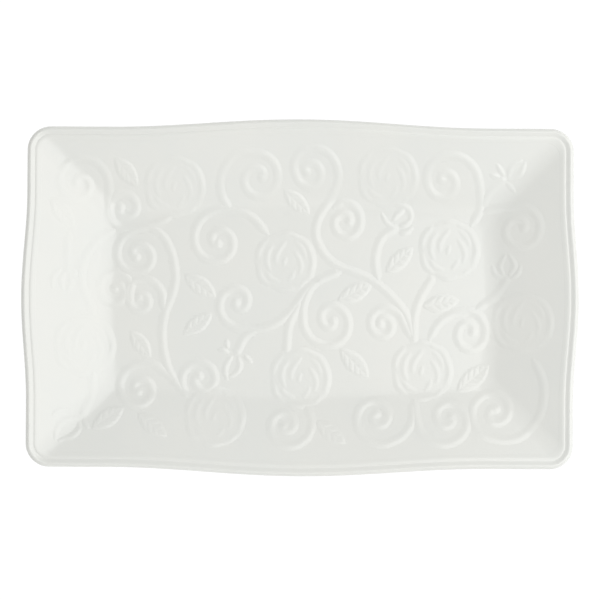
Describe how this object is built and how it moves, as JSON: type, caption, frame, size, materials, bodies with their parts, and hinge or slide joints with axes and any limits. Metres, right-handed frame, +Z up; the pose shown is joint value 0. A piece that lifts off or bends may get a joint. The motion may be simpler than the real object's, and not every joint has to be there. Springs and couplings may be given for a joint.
{
  "type": "serving platter",
  "caption": "Oblong glazed porcelain platter with sloped walls, rolled lip, beaded rim, foot ring and a low relief of roses, leaves, buds and spiral scrolls.",
  "frame": {"origin": "centre of the foot ring, on the plane that the platter stands on", "axes": "+X along the length, +Y across the width towards the far long side, +Z up out of the well"},
  "size_m": [0.356, 0.228, 0.025],
  "materials": {
    "glaze": "clear glossy glaze over warm white porcelain",
    "relief_glaze": "clear glossy glaze over raised relief, thinner on the crests",
    "bare_foot": "unglazed biscuit, ground flat"
  },
  "bodies": {
    "root": {"platter_body": "glaze", "rim_lip": "glaze", "rim_bead": "glaze", "foot_ring": "bare_foot", "rose_1": "relief_glaze", "rose_2": "relief_glaze", "rose_3": "relief_glaze", "rose_4": "relief_glaze", "rose_5": "relief_glaze", "rose_6": "relief_glaze", "rose_7": "relief_glaze", "rose_8": "relief_glaze", "rose_9": "relief_glaze", "leaf_1": "relief_glaze", "leaf_2": "relief_glaze", "leaf_3": "relief_glaze", "leaf_4": "relief_glaze", "leaf_5": "relief_glaze", "leaf_6": "relief_glaze", "leaf_7": "relief_glaze", "leaf_8": "relief_glaze", "leaf_9": "relief_glaze", "leaf_10": "relief_glaze", "leaf_11": "relief_glaze", "leaf_12": "relief_glaze", "leaf_13": "relief_glaze", "leaf_14": "relief_glaze", "bud_1": "relief_glaze", "bud_2": "relief_glaze", "bud_3": "relief_glaze", "bud_4": "relief_glaze", "bud_5": "relief_glaze", "bud_6": "relief_glaze", "scroll_1": "relief_glaze", "scroll_2": "relief_glaze", "scroll_3": "relief_glaze", "scroll_4": "relief_glaze", "scroll_5": "relief_glaze", "scroll_6": "relief_glaze", "scroll_7": "relief_glaze", "scroll_8": "relief_glaze", "scroll_9": "relief_glaze", "scroll_10": "relief_glaze", "scroll_11": "relief_glaze", "scroll_12": "relief_glaze", "scroll_13": "relief_glaze", "scroll_14": "relief_glaze", "scroll_15": "relief_glaze", "scroll_16": "relief_glaze", "scroll_17": "relief_glaze", "scroll_18": "relief_glaze", "scroll_19": "relief_glaze", "scroll_20": "relief_glaze", "scroll_21": "relief_glaze", "vine_1": "relief_glaze", "vine_2": "relief_glaze"}
  },
  "joints": []
}
